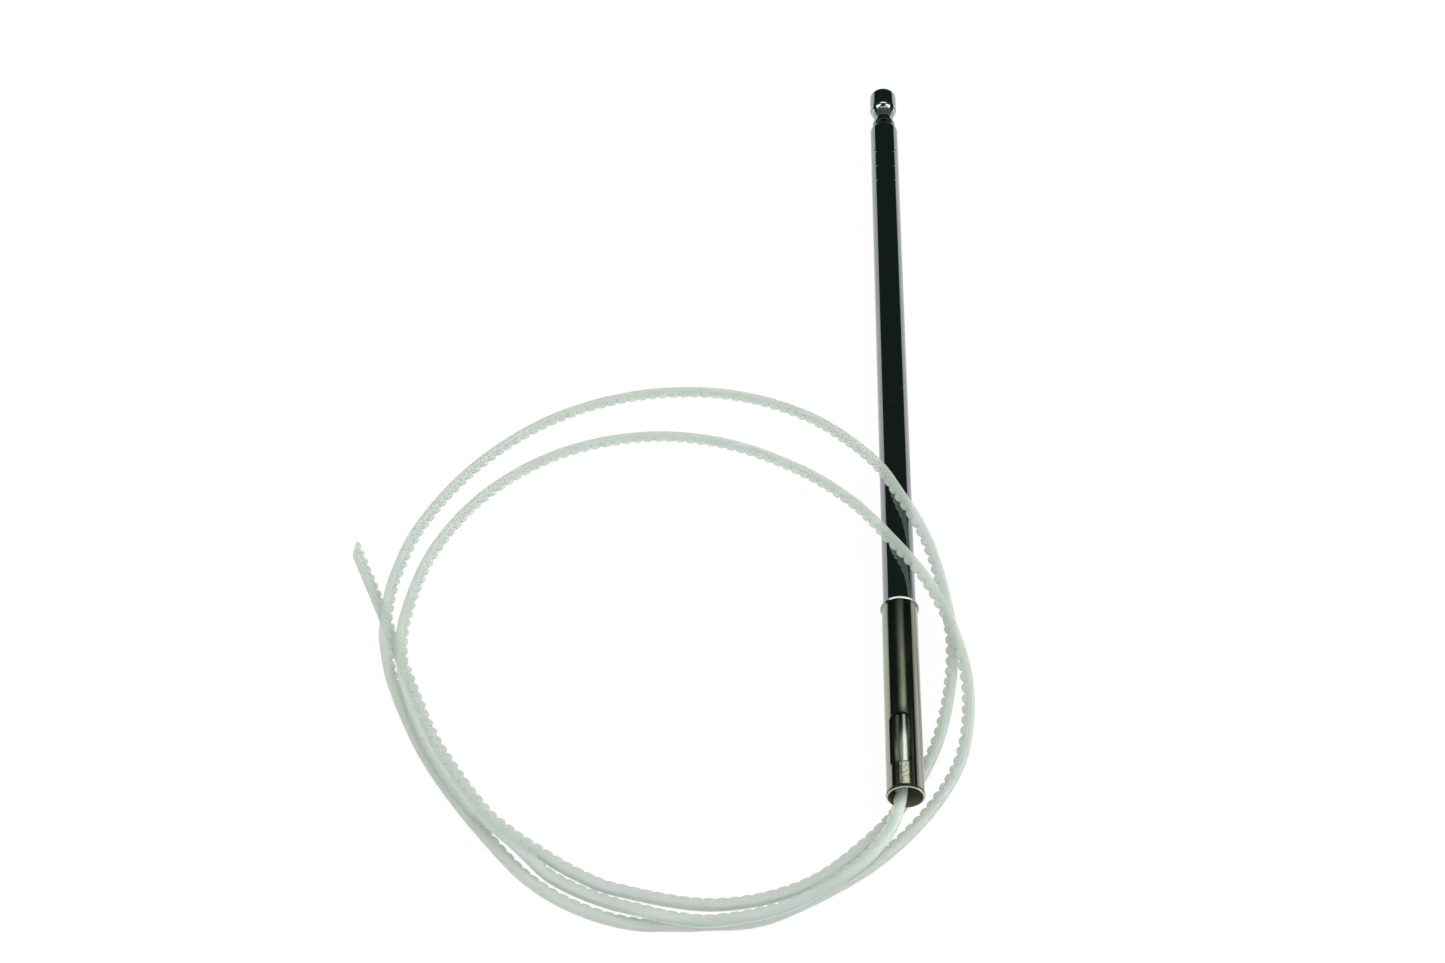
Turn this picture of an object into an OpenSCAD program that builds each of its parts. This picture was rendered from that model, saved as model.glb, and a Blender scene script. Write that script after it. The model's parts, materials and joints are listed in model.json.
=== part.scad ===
// Closed telescopic mast with a toothed nylon drive cord that leaves its foot in loose turns.
// The mast's own parts are drawn upright, from the mouth of the sleeve at height 0 to the tip,
// and on_mast() then lays them down along +Y.

/* [Mast] */
// Length of the closed mast, from the sleeve's mouth to the tip
mast_l = 287; // [270:1:320]
// Outside diameter of the outer tube
tube_od = 9; // [8:0.1:10]
// Wall of the outer tube
tube_wall = 0.35; // [0.25:0.05:0.5]
// Wall of each inner section
section_wall = 0.3; // [0.2:0.05:0.35]
// Radial space between one section and the next
section_gap = 0.4; // [0.35:0.05:0.5]
// Depth of the rolled grooves near the head of the outer tube
groove_depth = 0.06; // [0.05:0.01:0.2]
// Width of each rolled groove
groove_w = 1.2; // [0.8:0.1:1.6]
// Distance from one rolled groove to the next
groove_pitch = 7.2; // [5:0.1:9]
// Distance from the outer tube's rim down to the middle of the first groove
groove_drop = 14.1; // [10:0.1:16]

/* [Contact sleeve] */
// How far the sleeve reaches up the outer tube
sleeve_lap = 32.7; // [25:0.1:40]
// Wall of the sleeve
sleeve_wall = 0.4; // [0.3:0.05:0.6]
// Height of the outer tube's foot above the sleeve's mouth
tube_foot = 30; // [28:0.5:34]
// How far the bead at the sleeve's top stands out
bead_rise = 0.4; // [0.2:0.05:0.6]
// How far the rolled rim of the mouth stands out
rim_rise = 0.15; // [0.1:0.05:0.3]
// Height of the spring tongue's root above the mouth
tongue_root = 7.9; // [6:0.1:10]
// Length of the spring tongue
tongue_l = 15; // [12:0.5:17]
// Width of the cut round the tongue
tongue_cut = 0.8; // [0.5:0.1:1]
// Width of the spring tongue
tongue_w = 4.1; // [3:0.1:5]
// Radius of the cut's outer corners
cut_corner = 1.9; // [1:0.1:2.4]
// Turn of the tongue away from the top of the sleeve
tongue_turn = -18; // [-30:1:0]

/* [Sliding feet] */
// Length of each foot ring
foot_ring_l = 4; // [3:0.5:5]
// Length of each contact spring
spring_l = 6; // [5:0.5:7]
// Length of each stop ring
stop_ring_l = 3; // [2:0.5:4]
// Thickness of the contact spring's strip
spring_t = 0.12; // [0.08:0.02:0.16]
// Split in each contact spring
spring_split = 0.8; // [0.5:0.1:1.2]
// Height of section 2's foot above the outer tube's foot
section_2_rise = 4; // [4:0.5:8]
// Height of the next feet above section 2's foot
inner_rise = 2.2; // [2:0.1:4]
// Length of the bush under the outer tube's foot
bush_l = 3.4; // [3:0.1:5]

/* [Tip cap] */
// Diameter of the cap
cap_od = 8.8; // [8:0.1:8.9]
// Length of the cap above its bevel
cap_l = 8.5; // [7:0.1:10]
// Radius of the cap's rounded end
cap_round = 1.3; // [0.8:0.1:2]
// Diameter of the waist under the cap
waist_od = 6.6; // [6:0.1:7]
// Length of the bevel between the cap and the waist
bevel_l = 3.8; // [3:0.1:4.5]
// Length of the waist
waist_l = 1.4; // [1:0.1:2]
// Length of the flare from the waist to the cap's foot
flare_l = 1.5; // [1:0.1:2]
// Length of the cap's straight foot
cap_foot_l = 1; // [0.5:0.1:1.5]
// How far the closed sections stand out of the outer tube
head_rise = 2.2; // [1.5:0.1:3]

/* [Drive cord] */
// Width of the cord, over its teeth
cord_w = 3.4; // [3:0.1:3.4]
// Thickness of the cord
cord_t = 2.6; // [2.2:0.1:2.8]
// Length of the cord's end that is crimped in the ferrule
cord_tail_l = 8.2; // [6:0.1:10]
// Wall of the crimped ferrule
ferrule_wall = 0.22; // [0.15:0.01:0.24]
// Length of the rod's spigot in the ferrule
spigot_l = 3; // [2:0.5:4]

/* [Fits] */
// Radial clearance of a running fit
run_fit = 0.05; // [0.03:0.01:0.08]
// Radial clearance of a pressed fit
press_fit = 0.01; // [0.005:0.005:0.02]
// Gap between end faces that only meet
face_gap = 0.1; // [0.05:0.01:0.3]
// Gap between the cord and what it passes
cord_gap = 0.3; // [0.2:0.05:0.5]

/* [Hidden] */
$fn = 96;
eps = 0.01;

tube_r = tube_od / 2;
// Inner sections 2, 3 and 4 are entries 0, 1 and 2, and entry 3 is the solid rod.
section_r = [for (i = [0:3]) tube_r - tube_wall - section_gap - i * (section_wall + section_gap)];
bore_r = [tube_r - tube_wall, for (i = [0:2]) section_r[i] - section_wall];
rod_r = section_r[3];
lip_l = [section_gap + tube_wall, for (i = [0:2]) section_gap + section_wall];
groove_r = (pow(groove_w / 2, 2) + pow(groove_depth, 2)) / (2 * groove_depth);

sleeve_bore_r = tube_r + press_fit;
sleeve_r = sleeve_bore_r + sleeve_wall;
sleeve_l = tube_foot + sleeve_lap;
bead_r = sleeve_r + bead_rise;
rim_r = sleeve_r + rim_rise;

// Heights along the mast
cap_edge = mast_l - cap_l;
cap_foot = cap_edge - bevel_l - waist_l - flare_l - cap_foot_l;
head_top = cap_foot - face_gap;
tube_top = head_top - head_rise;
section_2_foot = tube_foot + section_2_rise;
inner_foot = section_2_foot + inner_rise;
section_foot = [section_2_foot, inner_foot, inner_foot, inner_foot];
cord_r = cord_w / 2;
ferrule_r = max(cord_r, rod_r) + press_fit + ferrule_wall;
ferrule_top = inner_foot - face_gap;
spigot_foot = ferrule_top - spigot_l;
tail_foot = spigot_foot - face_gap - cord_tail_l;
ferrule_foot = tail_foot + cord_gap;

// The mast lies on the cap's edge at the tip and above one strand of the cord at the mouth.
mouth_z = cord_t + 2 * cord_gap + sleeve_r;
cap_seat = mast_l - cap_round;
lean = asin((mouth_z - cap_od / 2) / cap_seat);
mouth_y = -mast_l / 2 * cos(lean);

// The cord's centreline, as X, Y and the height of its underside above the table. It starts at
// the ferrule, runs out of the mouth, makes two turns and a half, and ends cut off.
ROUTE = [
    [0, -119, 6.4], [0, -124, 6.4], [-0.5, -134, 5.2], [-1.5, -143.5, 4.3], [-5, -152.5, 3.5],
    [-13, -162, 3.1], [-29.5, -173.5, 3.1], [-46.5, -178.3, 3.2], [-57, -178.1, 3.3],
    [-66, -175.9, 2.9], [-74.7, -172.1, 0.3], [-83, -168.7, 0.1], [-90, -164.8, 0.3],
    [-95, -160.8, 1.8], [-99, -157.4, 2.9], [-106, -151.3, 3.2], [-112.5, -145, 3.2],
    [-122.3, -131.2, 3.2], [-130, -116, 3.4], [-134.5, -101, 4.2], [-135, -85, 4.4],
    [-129.8, -62, 4], [-117.5, -40.6, 3.3], [-98, -24.5, 3.2], [-74, -17.5, 3.8],
    [-50, -21.2, 5.9], [-28, -33.6, 8.9], [-12.7, -48.1, 11.5], [-2.4, -61.8, 12.2],
    [7, -75, 11.1], [13.3, -88.3, 8.6], [17.5, -103, 3.8], [17, -119, 0.6], [12.4, -133.2, 0.1],
    [1.7, -149, 0.03], [-12.9, -162.7, 0], [-34.5, -175.3, 0], [-50, -177.6, 0],
    [-60, -178.1, 0], [-67, -178.1, 0], [-75, -176.5, 0], [-83.5, -173.3, 0],
    [-91.7, -168.6, 0], [-100.2, -161.2, 0], [-114.7, -144.3, 0.05], [-126.4, -127.3, 0.2],
    [-135.5, -109, 1.2], [-139, -98.5, 2.8], [-140.5, -89, 3.4], [-140, -73, 3.7],
    [-134.5, -52, 3.3], [-121, -29, 3], [-100.7, -10.4, 3.1], [-76, -0.5, 3.6],
    [-49.8, -1.2, 5.7], [-26, -12.4, 9], [-8.3, -29.9, 11.5], [0.6, -45.3, 11.9],
    [8.4, -61.2, 9.2], [13.2, -82.6, 5.6], [13.7, -99, 2.4], [9.9, -119.1, 0.4],
    [2.3, -136.6, 0.05], [-9, -152, 0], [-25.8, -166, 0], [-48, -172, 0], [-72, -168.5, 0],
    [-83.3, -163.9, 0], [-93, -157.9, 0], [-101.8, -151.6, 0], [-109.3, -144.4, 0],
    [-123.1, -124.8, 0], [-132.5, -104.8, 0], [-141.3, -84.7, 0], [-153.8, -57.5, 0]
];
CORD_RINGS = 96;

// Lays an upright part along +Y, leaning down from the mouth to the tip. Its -Y side is on top.
module on_mast() {
    translate([0, mouth_y, mouth_z]) rotate([-90 - lean, 0, 0]) children();
}

// A ring between two radii
module ring(foot, length, inner_r, outer_r) {
    translate([0, 0, foot]) rotate_extrude()
        translate([inner_r, 0]) square([outer_r - inner_r, length]);
}

// Half section of a tube whose top is rolled in over the length lip
module tube_half(foot, top, outer_r, inner_r, lip, mouth_r) {
    lip_x = outer_r - lip;
    translate([inner_r, foot]) square([outer_r - inner_r, top - lip - foot]);
    intersection() {
        difference() {
            translate([lip_x, top - lip]) circle(r = lip);
            translate([lip_x, top - lip]) circle(r = lip - (outer_r - inner_r));
        }
        translate([mouth_r, top - lip - eps]) square([outer_r - mouth_r, lip + eps]);
    }
}

module section_tube(i) {
    on_mast() rotate_extrude() tube_half(section_foot[i], head_top, section_r[i], bore_r[i + 1],
        lip_l[i + 1], section_r[i + 1] + run_fit);
}

module foot_ring(i) {
    on_mast() ring(section_foot[i], foot_ring_l, section_r[i] + press_fit, bore_r[i] - run_fit);
}

module stop_ring(i) {
    start = section_foot[i] + foot_ring_l + spring_l + 2 * face_gap;
    on_mast() ring(start, stop_ring_l, section_r[i] + press_fit, bore_r[i] - run_fit);
}

// A split strip that bows out from the section until it all but touches the bore round it
module contact_spring(i) {
    start = section_foot[i] + foot_ring_l + face_gap;
    bow = section_gap - spring_t - 2 * run_fit;
    bow_r = (pow(spring_l / 2, 2) + pow(bow, 2)) / (2 * bow);
    crown_x = bore_r[i] - run_fit;
    on_mast() translate([0, 0, start]) difference() {
        rotate_extrude() intersection() {
            translate([crown_x - bow_r, spring_l / 2]) difference() {
                circle(r = bow_r, $fn = 360);
                circle(r = bow_r - spring_t, $fn = 360);
            }
            translate([section_r[i], 0]) square([section_gap, spring_l]);
        }
        translate([-spring_split / 2, 0, -eps]) cube([spring_split, tube_od, spring_l + 2 * eps]);
    }
}

// A flat outline, length high and width wide, whose two upper corners are round
module arched(width, length, corner) {
    x = width / 2 - corner;
    translate([-width / 2, 0]) square([width, length - corner]);
    translate([-x, 0]) square([2 * x, length]);
    for (side = [-1, 1]) translate([side * x, length - corner]) circle(r = corner);
}

// Tube with a rolled mouth, a bead at its top, and a U-shaped cut that frees a spring tongue
module contact_sleeve() {
    rim = sleeve_wall + rim_rise;
    bead = sleeve_wall + bead_rise;
    color([0.52, 0.5, 0.45]) on_mast() difference() {
        rotate_extrude() {
            translate([sleeve_bore_r, 0]) square([sleeve_wall, sleeve_l]);
            intersection() {
                union() {
                    translate([sleeve_bore_r, rim]) circle(r = rim);
                    translate([sleeve_bore_r, sleeve_l - bead]) circle(r = bead);
                }
                translate([sleeve_bore_r, 0]) square([tube_r, sleeve_l]);
            }
        }
        rotate([0, 0, tongue_turn]) translate([0, 0, tongue_root]) rotate([90, 0, 0])
            linear_extrude(tube_od) difference() {
                arched(tongue_w + 2 * tongue_cut, tongue_l + tongue_cut, cut_corner);
                translate([0, -eps])
                    arched(tongue_w, tongue_l + eps, cut_corner - tongue_cut);
            }
    }
}

module outer_tube() {
    color([0.16, 0.17, 0.18]) on_mast() rotate_extrude() difference() {
        tube_half(tube_foot, tube_top, tube_r, bore_r[0], lip_l[0], section_r[0] + run_fit);
        for (k = [0:2])
            translate([tube_r - groove_depth + groove_r, tube_top - groove_drop - k * groove_pitch])
                circle(r = groove_r);
    }
}

// Brass bush that closes the outer tube's foot and guides the cord
module foot_bush() {
    color([0.72, 0.58, 0.32]) on_mast()
        ring(tube_foot - face_gap - bush_l, bush_l, ferrule_r + cord_gap, tube_r);
}

module section_2_tube() { color([0.7, 0.71, 0.73]) section_tube(0); }
module section_3_tube() { color([0.7, 0.71, 0.73]) section_tube(1); }
module section_4_tube() { color([0.7, 0.71, 0.73]) section_tube(2); }

module section_2_foot_ring() { color([0.76, 0.62, 0.34]) foot_ring(0); }
module section_3_foot_ring() { color([0.76, 0.62, 0.34]) foot_ring(1); }
module section_4_foot_ring() { color([0.76, 0.62, 0.34]) foot_ring(2); }
module rod_foot_ring() { color([0.76, 0.62, 0.34]) foot_ring(3); }

module section_2_spring() { color([0.72, 0.5, 0.3]) contact_spring(0); }
module section_3_spring() { color([0.72, 0.5, 0.3]) contact_spring(1); }
module section_4_spring() { color([0.72, 0.5, 0.3]) contact_spring(2); }
module rod_spring() { color([0.72, 0.5, 0.3]) contact_spring(3); }

module section_2_stop_ring() { color([0.76, 0.62, 0.34]) stop_ring(0); }
module section_3_stop_ring() { color([0.76, 0.62, 0.34]) stop_ring(1); }
module section_4_stop_ring() { color([0.76, 0.62, 0.34]) stop_ring(2); }
module rod_stop_ring() { color([0.76, 0.62, 0.34]) stop_ring(3); }

// Solid innermost section, from its spigot in the ferrule to its seat in the cap
module tip_rod() {
    color([0.72, 0.73, 0.75]) on_mast()
        translate([0, 0, spigot_foot]) cylinder(r = rod_r, h = cap_edge - spigot_foot);
}

// Tube crimped over the rod's spigot and the end of the cord
module cord_ferrule() {
    color([0.76, 0.62, 0.34]) on_mast() rotate_extrude() {
        translate([cord_r + press_fit, ferrule_foot])
            square([ferrule_r - cord_r - press_fit, spigot_foot - ferrule_foot]);
        translate([rod_r + press_fit, spigot_foot])
            square([ferrule_r - rod_r - press_fit, ferrule_top - spigot_foot]);
    }
}

module cord_tail() {
    color([0.86, 0.89, 0.86]) on_mast()
        translate([0, 0, tail_foot]) cylinder(r = cord_r, h = cord_tail_l);
}

// Turned cap: straight foot, flare, waist, hollow bevel, and a drum with a rounded end
module tip_cap() {
    foot_r = section_r[0] - run_fit;
    cap_r = cap_od / 2;
    waist_r = waist_od / 2;
    waist_foot = cap_foot + cap_foot_l + flare_l;
    bevel_steps = 6;
    bevel = [for (k = [0:bevel_steps]) let (u = k / bevel_steps)
        [waist_r + (cap_r - waist_r) * u * u, cap_edge - (1 - u) * bevel_l]];
    color([0.2, 0.21, 0.22]) on_mast() rotate_extrude() difference() {
        union() {
            polygon([[0, cap_foot], [foot_r, cap_foot], [foot_r, cap_foot + cap_foot_l],
                [waist_r, waist_foot], each bevel, [cap_r, cap_seat], [0, cap_seat]]);
            translate([0, cap_seat - eps]) square([cap_r - cap_round, cap_round + eps]);
            intersection() {
                translate([cap_r - cap_round, cap_seat]) circle(r = cap_round);
                translate([0, cap_seat - eps]) square([cap_r, cap_round + eps]);
            }
        }
        translate([-eps, cap_foot - eps])
            square([rod_r + press_fit + eps, cap_edge + face_gap - cap_foot]);
    }
}

// Point at fraction t between route points i and i + 1, on a smooth curve through all of them
function lifted(i) = [ROUTE[i][0], ROUTE[i][1], ROUTE[i][2] + cord_t / 2];
function route_point(i) = i < 0 ? 2 * lifted(0) - lifted(1)
    : i >= len(ROUTE) ? 2 * lifted(len(ROUTE) - 1) - lifted(len(ROUTE) - 2)
    : lifted(i);
function curve_point(i, t) =
    let (a = route_point(i - 1), b = route_point(i), c = route_point(i + 1), d = route_point(i + 2))
    (2 * b + (c - a) * t + (2 * a - 5 * b + 4 * c - d) * t * t + (3 * b - a - 3 * c + d) * pow(t, 3)) / 2;

function share_point(u) = let (i = min(floor(u), len(ROUTE) - 2)) curve_point(i, u - i);

// The curve in fine steps, and the length up to each step
FINE_STEPS = 4 * CORD_RINGS;
fine_step = (len(ROUTE) - 1) / FINE_STEPS;
FINE = [for (k = [0:FINE_STEPS]) share_point(k * fine_step)];
RUNS = [for (k = 0, s = 0; k <= FINE_STEPS;
    s = s + norm(FINE[min(k + 1, FINE_STEPS)] - FINE[k]), k = k + 1) s];
cord_l = RUNS[FINE_STEPS];

// Rings are shared out half by the cord's length and half by the route's points, so they stand
// closer where the points do.
SHARES = [for (k = [0:FINE_STEPS]) [(RUNS[k] / cord_l + k / FINE_STEPS) / 2, k * fine_step]];
LINE = [for (k = [0:CORD_RINGS - 1]) share_point(lookup(k / (CORD_RINGS - 1), SHARES))];
function unit(v) = v / norm(v);
function heading(k) =
    unit(LINE[min(k + 1, CORD_RINGS - 1)] - LINE[max(k - 1, 0)]);

// The cord's section: eight corners, flat below and above, cord_w wide and cord_t thick
flat_w = cord_w * 0.4;
flat_t = cord_t * 0.4;
SECTION = [
    [cord_w, flat_t], [flat_w, cord_t], [-flat_w, cord_t], [-cord_w, flat_t],
    [-cord_w, -flat_t], [-flat_w, -cord_t], [flat_w, -cord_t], [cord_w, -flat_t]
] / 2;
SIDES = len(SECTION);

function ring_points(k) =
    let (ahead = heading(k), side = unit(cross([0, 0, 1], ahead)), up = cross(ahead, side))
    [for (s = SECTION) LINE[k] + s[0] * side + s[1] * up];

module drive_cord() {
    points = [for (k = [0:CORD_RINGS - 1]) each ring_points(k)];
    walls = [for (k = [0:CORD_RINGS - 2]) for (j = [0:SIDES - 1])
        let (n = (j + 1) % SIDES, a = k * SIDES + j, b = k * SIDES + n)
        each [[a, a + SIDES, b], [b, a + SIDES, b + SIDES]]];
    start = [for (j = [1:SIDES - 2]) [0, j, j + 1]];
    last = (CORD_RINGS - 1) * SIDES;
    end = [for (j = [1:SIDES - 2]) [last, last + j + 1, last + j]];
    color([0.86, 0.89, 0.86]) polyhedron(points = points, faces = concat(walls, start, end));
}

// Least gap between strands of the cord that are a quarter turn or more apart
function reach(u) = norm([norm([u[0], u[1]]) * cord_r, u[2] * cord_t / 2]);
function strand_gap(a, b) = let (d = b - a) norm(d) - 2 * reach(unit(d));
echo(cord_length = cord_l,
    least_gap = min([for (a = [0:FINE_STEPS - 40]) for (b = [a + 40:FINE_STEPS])
        strand_gap(FINE[a], FINE[b])]));

contact_sleeve();
outer_tube();
foot_bush();
drive_cord();
section_2_tube();
section_2_foot_ring();
section_2_spring();
section_2_stop_ring();
section_3_tube();
section_3_foot_ring();
section_3_spring();
section_3_stop_ring();
section_4_tube();
section_4_foot_ring();
section_4_spring();
section_4_stop_ring();
tip_rod();
rod_foot_ring();
rod_spring();
rod_stop_ring();
cord_ferrule();
cord_tail();
tip_cap();
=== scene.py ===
"""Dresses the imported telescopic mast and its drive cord, and sets the stage round them.

Every size is in metres. The mast's own parts are drawn upright, from the sleeve's mouth at
height 0 to the tip, and the matrix MAST then lays them on the mast's leaning axis.
"""

import json
import math

import bmesh
import bpy
from bpy.props import FloatProperty, FloatVectorProperty, IntProperty, PointerProperty
from mathutils import Matrix, Vector
from mathutils.geometry import interpolate_bezier


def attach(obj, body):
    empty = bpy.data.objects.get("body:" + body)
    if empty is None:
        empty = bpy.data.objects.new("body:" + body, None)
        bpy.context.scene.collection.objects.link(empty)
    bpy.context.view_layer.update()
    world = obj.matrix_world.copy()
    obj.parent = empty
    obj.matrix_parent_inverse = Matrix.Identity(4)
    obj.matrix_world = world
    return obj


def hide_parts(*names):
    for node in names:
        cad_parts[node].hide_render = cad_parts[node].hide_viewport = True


bl_info = {
    "name": "Telescopic Mast With Drive Cord",
    "version": (1, 0, 0),
    "blender": (4, 5, 0),
    "location": "View3D > Sidebar > Mast",
    "description": "Builds a closed telescopic mast and its toothed drive cord",
    "category": "Add Mesh",
}

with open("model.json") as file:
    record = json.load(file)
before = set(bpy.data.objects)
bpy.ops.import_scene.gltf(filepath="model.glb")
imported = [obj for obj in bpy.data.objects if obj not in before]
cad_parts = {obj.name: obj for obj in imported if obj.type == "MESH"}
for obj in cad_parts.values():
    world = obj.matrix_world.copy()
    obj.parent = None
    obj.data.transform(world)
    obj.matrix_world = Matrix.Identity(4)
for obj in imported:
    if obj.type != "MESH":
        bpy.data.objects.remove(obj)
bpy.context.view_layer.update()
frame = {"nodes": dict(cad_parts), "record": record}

MM = 0.001

# The plain land at the tube's head gives the mast's axis, and its place along it.
LAND = next(m for m in frame["record"]["mounts"] if m["name"] == "head_land")
LAND_HEIGHT = 261.375 * MM
AXIS = Vector(LAND["axis"]).normalized()
LEAN = math.asin(-AXIS.z)
MOUTH = Vector(LAND["pos_m"]) - LAND_HEIGHT * AXIS
MAST = Matrix.Translation(MOUTH) @ Matrix.Rotation(-math.pi / 2 - LEAN, 4, "X")

# Middle of the cord across the table, and the height of its underside.
ROUTE = [
    (0, -0.119, 0.0064), (0, -0.124, 0.0064), (-0.0005, -0.134, 0.0052),
    (-0.0015, -0.1435, 0.0043), (-0.005, -0.1525, 0.0035), (-0.013, -0.162, 0.0031),
    (-0.0295, -0.1735, 0.0031), (-0.0465, -0.1783, 0.0032), (-0.057, -0.1781, 0.0033),
    (-0.066, -0.1759, 0.0029), (-0.0747, -0.1721, 0.0003), (-0.083, -0.1687, 0.0001),
    (-0.09, -0.1648, 0.0003), (-0.095, -0.1608, 0.0018), (-0.099, -0.1574, 0.0029),
    (-0.106, -0.1513, 0.0032), (-0.1125, -0.145, 0.0032), (-0.1223, -0.1312, 0.0032),
    (-0.13, -0.116, 0.0034), (-0.1345, -0.101, 0.0042), (-0.135, -0.085, 0.0044),
    (-0.1298, -0.062, 0.004), (-0.1175, -0.0406, 0.0033), (-0.098, -0.0245, 0.0032),
    (-0.074, -0.0175, 0.0038), (-0.05, -0.0212, 0.0059), (-0.028, -0.0336, 0.0089),
    (-0.0127, -0.0481, 0.0115), (-0.0024, -0.0618, 0.0122), (0.007, -0.075, 0.0111),
    (0.0133, -0.0883, 0.0086), (0.0175, -0.103, 0.0038), (0.017, -0.119, 0.0006),
    (0.0124, -0.1332, 0.0001), (0.0017, -0.149, 0.00003), (-0.0129, -0.1627, 0),
    (-0.0345, -0.1753, 0), (-0.05, -0.1776, 0), (-0.06, -0.1781, 0), (-0.067, -0.1781, 0),
    (-0.075, -0.1765, 0), (-0.0835, -0.1733, 0), (-0.0917, -0.1686, 0), (-0.1002, -0.1612, 0),
    (-0.1147, -0.1443, 0.00005), (-0.1264, -0.1273, 0.0002), (-0.1355, -0.109, 0.0012),
    (-0.139, -0.0985, 0.0028), (-0.1405, -0.089, 0.0034), (-0.14, -0.073, 0.0037),
    (-0.1345, -0.052, 0.0033), (-0.121, -0.029, 0.003), (-0.1007, -0.0104, 0.0031),
    (-0.076, -0.0005, 0.0036), (-0.0498, -0.0012, 0.0057), (-0.026, -0.0124, 0.009),
    (-0.0083, -0.0299, 0.0115), (0.0006, -0.0453, 0.0119), (0.0084, -0.0612, 0.0092),
    (0.0132, -0.0826, 0.0056), (0.0137, -0.099, 0.0024), (0.0099, -0.1191, 0.0004),
    (0.0023, -0.1366, 0.00005), (-0.009, -0.152, 0), (-0.0258, -0.166, 0), (-0.048, -0.172, 0),
    (-0.072, -0.1685, 0), (-0.0833, -0.1639, 0), (-0.093, -0.1579, 0), (-0.1018, -0.1516, 0),
    (-0.1093, -0.1444, 0), (-0.1231, -0.1248, 0), (-0.1325, -0.1048, 0), (-0.1413, -0.0847, 0),
    (-0.1538, -0.0575, 0),
]
SPAN_STEPS = 24  # points from one route point to the next

# Heights on the tip cap: its underside, the two ends of its waist, where the hollow bevel meets
# the drum's edge, where the drum is full, where its crown starts, and its top
CAP_BASE, WAIST_LOW, WAIST_TOP = 270.8 * MM, 273.3 * MM, 274.7 * MM
BEVEL_TOP, DRUM_LOW, CROWN_LOW, MAST_TIP = 278.5 * MM, 279.5 * MM, 285.7 * MM, 287 * MM

SEAT_GAP = 0.01 * MM  # between the tube and the sleeve pressed on it
TONGUE_TURN = Matrix.Rotation(math.radians(-18), 4, "Z")
CUT_FROM, CUT_TO = -3 * MM, -7 * MM  # the tongue's cutter, from inside the bore to outside
LATHE_STEPS = 144  # round each turned piece
SAME_PLACE = 1e-7  # how far apart two points may be and still count as one


# ---------------------------------------------------------------- sizes and colours


def length(description, default, low, high):
    """A length that a user can change, with its default and limits in millimetres."""
    return FloatProperty(
        name=description, description=description, default=default * MM, min=low * MM,
        max=high * MM, unit="LENGTH", precision=5,
    )


def colour(description, default):
    return FloatVectorProperty(
        name=description, description=description, default=default, size=3, min=0, max=1,
        subtype="COLOR",
    )


class MastSizes(bpy.types.PropertyGroup):
    """Sizes of the mast's own parts"""

    tube_radius: length("Outer tube radius", LAND["dims"]["r_mm"], 4, 5)
    sleeve_length: length("Contact sleeve length", 62.7, 55, 75)
    sleeve_wall: length("Contact sleeve wall", 0.4, 0.3, 0.6)
    bead_rise: length("Sleeve bead height", 0.4, 0.2, 0.6)
    rim_rise: length("Sleeve rim height", 0.15, 0.1, 0.3)
    tongue_root: length("Tongue root height", 7.9, 6, 10)
    tongue_length: length("Tongue length", 15, 12, 17)
    tongue_width: length("Tongue width", 4.1, 3, 5)
    tongue_cut: length("Cut round the tongue", 0.8, 0.5, 1)
    cut_corner: length("Corner radius of the cut", 1.9, 1, 2.4)
    tongue_bow: length("Outward bow of the tongue", 0.2, 0, 0.6)
    cap_radius: length("Cap radius", 4.4, 4, 4.5)
    edge_drop: length("Fall of the drum's soft edge", 0.27, 0, 0.3)
    waist_radius: length("Waist radius", 3.3, 3, 3.6)
    foot_radius: length("Cap foot radius", 3.7, 3.4, 4)


class CordSizes(bpy.types.PropertyGroup):
    """Sizes of the toothed drive cord"""

    width: length("Width over the teeth", 3.4, 3, 3.4)
    thickness: length("Thickness", 2.6, 2.2, 2.8)
    corner: length("Corner radius of the back", 0.7, 0.5, 1.3)
    tooth_depth: length("Tooth depth", 1.18, 0.6, 1.2)
    tooth_pitch: length("Tooth pitch", 3.175, 3, 3.4)
    teeth: IntProperty(name="Teeth", description="Teeth on the cord", default=396, min=12, max=400)


class MastFinish(bpy.types.PropertyGroup):
    """Base colours of the finishes"""

    chrome: colour("Chrome plate", (0.26, 0.285, 0.295))
    nickel: colour("Nickel plate", (0.34, 0.355, 0.29))
    nylon: colour("Nylon", (0.446, 0.504, 0.461))
    brass: colour("Turned brass", (0.62, 0.42, 0.17))
    bronze: colour("Phosphor bronze", (0.52, 0.28, 0.13))
    steel: colour("Stainless steel", (0.56, 0.57, 0.58))
    table: colour("Table", (0.92, 0.92, 0.92))


def sizes():
    return bpy.context.scene.mast_sizes


def cord_sizes():
    return bpy.context.scene.cord_sizes


def finish_colours():
    return bpy.context.scene.mast_finish


# ---------------------------------------------------------------- shader expressions


class Wire:
    """A shader value, on which Python's operators add Math nodes."""

    def __init__(self, finish, socket):
        self.finish, self.socket = finish, socket

    def math(self, operation, *values):
        inputs = dict(enumerate([self, *values]))
        return self.finish.wire("ShaderNodeMath", {"operation": operation}, inputs)

    def __add__(self, other):
        return self.math("ADD", other)

    def __sub__(self, other):
        return self.math("SUBTRACT", other)

    def __mul__(self, other):
        return self.math("MULTIPLY", other)

    def __truediv__(self, other):
        return self.math("DIVIDE", other)

    def __rsub__(self, other):
        return (self * -1).math("ADD", other)

    def __abs__(self):
        return self.math("ABSOLUTE")

    def __pow__(self, other):
        return self.math("POWER", other)

    __radd__, __rmul__ = __add__, __mul__


def rgba(value):
    """A colour as a node's socket takes it. A Wire is one already."""
    return value if isinstance(value, Wire) else (*value, 1)


def shade(values, factor):
    return tuple(min(1.0, v * factor) for v in values)


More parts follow.
